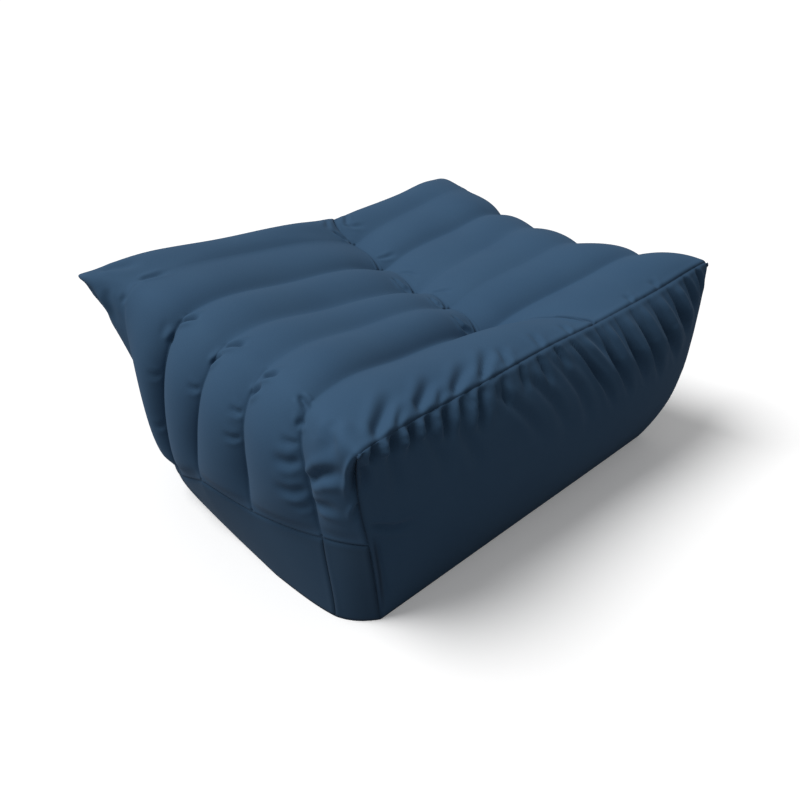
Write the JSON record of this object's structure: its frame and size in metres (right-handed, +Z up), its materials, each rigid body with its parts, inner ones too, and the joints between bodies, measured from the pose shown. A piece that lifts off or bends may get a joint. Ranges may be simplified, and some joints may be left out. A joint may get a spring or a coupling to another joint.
{
  "type": "bean bag pouf",
  "caption": "Low rectangular bean bag pouf with stitched channels over the top, front and back, a drawn-in middle seam, pointed corners, gathered side panels and a plain base band",
  "frame": {"origin": "middle of the plan, on the surface that the bag stands on", "axes": "+X across the channels towards the right side panel, +Y along the channels from the front face to the back face, +Z up"},
  "size_m": [0.7932, 1.0434, 0.4701],
  "materials": {
    "cloth_channels": "smooth matte woven upholstery cloth, blue",
    "cloth_sides": "the same cloth on the flat gathered side panels",
    "cloth_base": "the same cloth on the plain base band"
  },
  "bodies": {
    "root": {"channelled_bag": "cloth_channels", "side_panel_left": "cloth_sides", "side_panel_right": "cloth_sides", "base_band_front": "cloth_base", "base_corner_front_left": "cloth_base", "base_corner_front_right": "cloth_base", "base_band_back": "cloth_base", "base_corner_back_left": "cloth_base", "base_corner_back_right": "cloth_base"}
  },
  "joints": []
}
